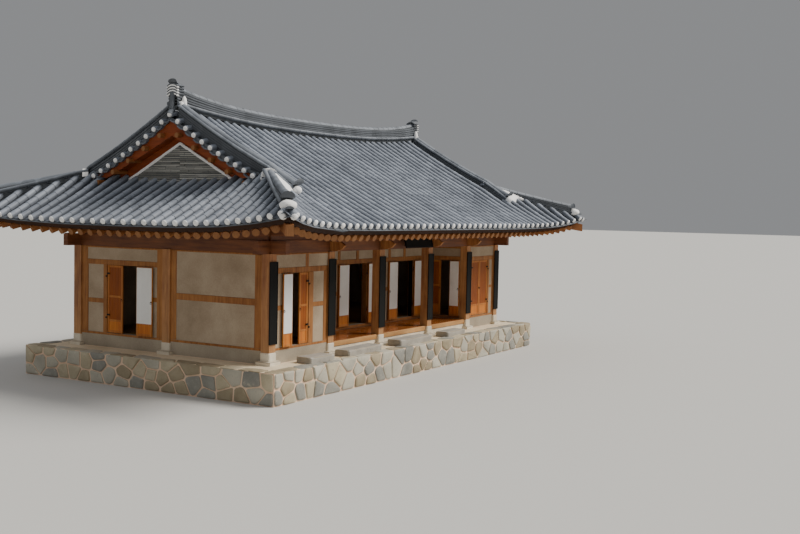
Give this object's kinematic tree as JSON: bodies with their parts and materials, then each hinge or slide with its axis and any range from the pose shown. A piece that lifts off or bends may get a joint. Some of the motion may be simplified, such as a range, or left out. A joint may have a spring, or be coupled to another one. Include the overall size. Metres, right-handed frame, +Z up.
{
  "type": "timber house with a tiled hip-and-gable roof",
  "caption": "Traditional timber house on a stone podium, with a tiled hip-and-gable roof, an open front porch and hinged paper doors.",
  "frame": {"origin": "centre of the house's bounding box on the ground under the podium", "axes": "+X right along the front, -Y the porch front, +Z up"},
  "size_m": [16.516, 10.716, 7.2935],
  "materials": {
    "stone": "rough",
    "earth_floor": "matt",
    "timber": "oiled",
    "roof_tile": "matt",
    "door_wood": "oiled",
    "plaster": "matt"
  },
  "bodies": {
    "house": {"back_wall": "plaster", "end_pier_1": "plaster", "end_pier_2": "plaster", "gable_left": "timber", "gable_right": "timber", "left_pier_1": "plaster", "left_pier_2": "plaster", "left_return_wall": "plaster", "left_wall": "plaster", "podium": "stone", "podium_left": "stone", "podium_right": "stone", "porch_band": "plaster", "porch_floor": "timber", "porch_pier_1": "plaster", "porch_pier_2": "plaster", "porch_pier_3": "plaster", "porch_pier_4": "plaster", "rafters_back": "timber", "rafters_front": "timber", "rafters_left": "timber", "rafters_right": "timber", "return_pier_1": "plaster", "return_pier_2": "plaster", "ridges": "roof_tile", "right_wall": "plaster", "roof_back": "roof_tile", "roof_front": "roof_tile", "roof_left": "roof_tile", "roof_right": "roof_tile", "room_floor": "earth_floor", "room_pier_1": "plaster", "room_pier_2": "plaster", "timber_frame": "timber"},
    "left_door_a_leaf": {"left_door_a": "door_wood"},
    "left_door_b_leaf": {"left_door_b": "door_wood"},
    "room_door_a_leaf": {"room_door_a": "door_wood"},
    "room_door_b_leaf": {"room_door_b": "door_wood"},
    "porch_door_1_a_leaf": {"porch_door_1_a": "door_wood"},
    "porch_door_1_b_leaf": {"porch_door_1_b": "door_wood"},
    "porch_door_2_a_leaf": {"porch_door_2_a": "door_wood"},
    "porch_door_2_b_leaf": {"porch_door_2_b": "door_wood"},
    "porch_door_3_a_leaf": {"porch_door_3_a": "door_wood"},
    "porch_door_3_b_leaf": {"porch_door_3_b": "door_wood"},
    "return_door_a_leaf": {"return_door_a": "door_wood"},
    "return_door_b_leaf": {"return_door_b": "door_wood"},
    "end_door_a_leaf": {"end_door_a": "door_wood"},
    "end_door_b_leaf": {"end_door_b": "door_wood"}
  },
  "joints": [
    {"name": "left_door_a_hinge", "type": "hinge", "parent": "house", "child": "left_door_a_leaf", "pos_m": [-6.042, 2.03, 2.015], "axis": [0, 0, 1], "range_deg": [-180, 0]},
    {"name": "left_door_b_hinge", "type": "hinge", "parent": "house", "child": "left_door_b_leaf", "pos_m": [-6.042, 0.96, 2.015], "axis": [0, 0, 1], "range_deg": [-180, 0]},
    {"name": "room_door_a_hinge", "type": "hinge", "parent": "house", "child": "room_door_a_leaf", "pos_m": [-5.216, -3.142, 2.015], "axis": [0, 0, 1], "range_deg": [0, 180]},
    {"name": "room_door_b_hinge", "type": "hinge", "parent": "house", "child": "room_door_b_leaf", "pos_m": [-4.483, -3.142, 2.015], "axis": [0, 0, 1], "range_deg": [0, 180]},
    {"name": "porch_door_1_a_hinge", "type": "hinge", "parent": "house", "child": "porch_door_1_a_leaf", "pos_m": [-2.9, -1.791, 2.015], "axis": [0, 0, 1], "range_deg": [-180, 0]},
    {"name": "porch_door_1_b_hinge", "type": "hinge", "parent": "house", "child": "porch_door_1_b_leaf", "pos_m": [-1.9, -1.791, 2.015], "axis": [0, 0, 1], "range_deg": [-180, 0]},
    {"name": "porch_door_2_a_hinge", "type": "hinge", "parent": "house", "child": "porch_door_2_a_leaf", "pos_m": [-0.732, -1.791, 2.015], "axis": [0, 0, 1], "range_deg": [0, 180]},
    {"name": "porch_door_2_b_hinge", "type": "hinge", "parent": "house", "child": "porch_door_2_b_leaf", "pos_m": [0.268, -1.791, 2.015], "axis": [0, 0, 1], "range_deg": [-180, 0]},
    {"name": "porch_door_3_a_hinge", "type": "hinge", "parent": "house", "child": "porch_door_3_a_leaf", "pos_m": [1.925, -1.791, 2.015], "axis": [0, 0, 1], "range_deg": [0, 180]},
    {"name": "porch_door_3_b_hinge", "type": "hinge", "parent": "house", "child": "porch_door_3_b_leaf", "pos_m": [2.925, -1.791, 2.015], "axis": [0, 0, 1], "range_deg": [-180, 0]},
    {"name": "return_door_a_hinge", "type": "hinge", "parent": "house", "child": "return_door_a_leaf", "pos_m": [3.892, -1.88, 2.015], "axis": [0, 0, 1], "range_deg": [-88, 0]},
    {"name": "return_door_b_hinge", "type": "hinge", "parent": "house", "child": "return_door_b_leaf", "pos_m": [3.892, -2.57, 2.015], "axis": [0, 0, 1], "range_deg": [-180, 0]},
    {"name": "end_door_a_hinge", "type": "hinge", "parent": "house", "child": "end_door_a_leaf", "pos_m": [4.249, -3.142, 2.015], "axis": [0, 0, 1], "range_deg": [-160, 0]},
    {"name": "end_door_b_hinge", "type": "hinge", "parent": "house", "child": "end_door_b_leaf", "pos_m": [5.416, -3.142, 2.015], "axis": [0, 0, 1], "range_deg": [0, 160]}
  ]
}
